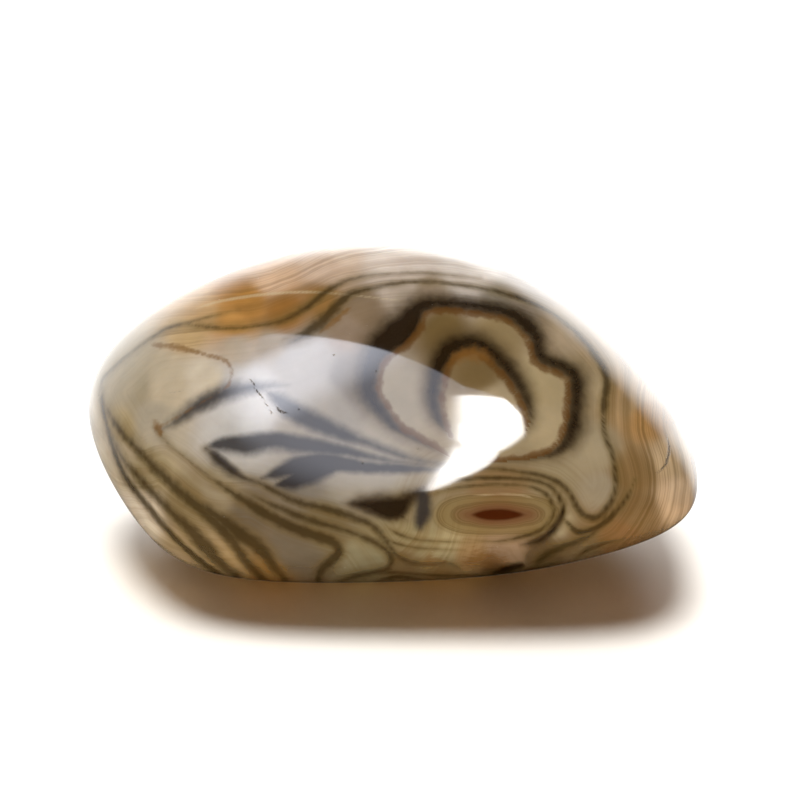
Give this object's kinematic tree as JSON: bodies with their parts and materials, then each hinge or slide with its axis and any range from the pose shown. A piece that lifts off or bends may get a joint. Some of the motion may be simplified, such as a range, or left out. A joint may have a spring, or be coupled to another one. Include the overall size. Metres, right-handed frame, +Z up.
{
  "type": "polished agate stone",
  "caption": "Tumble-polished banded agate pebble, egg-shaped with rounded facets and a drooping nose, lying on a small flat spot.",
  "frame": {"origin": "on the table, at the middle of the stone's bounding box seen from above", "axes": "+X along the stone's length towards its drooping nose, -Y out of its broad banded face, +Z up"},
  "size_m": [0.0508, 0.0336, 0.0283],
  "materials": {
    "polished_agate": "mirror-polished banded chalcedony, translucent grey-white to tan with amber, brown and near-black bands"
  },
  "bodies": {
    "root": {"agate_stone": "polished_agate"}
  },
  "joints": []
}
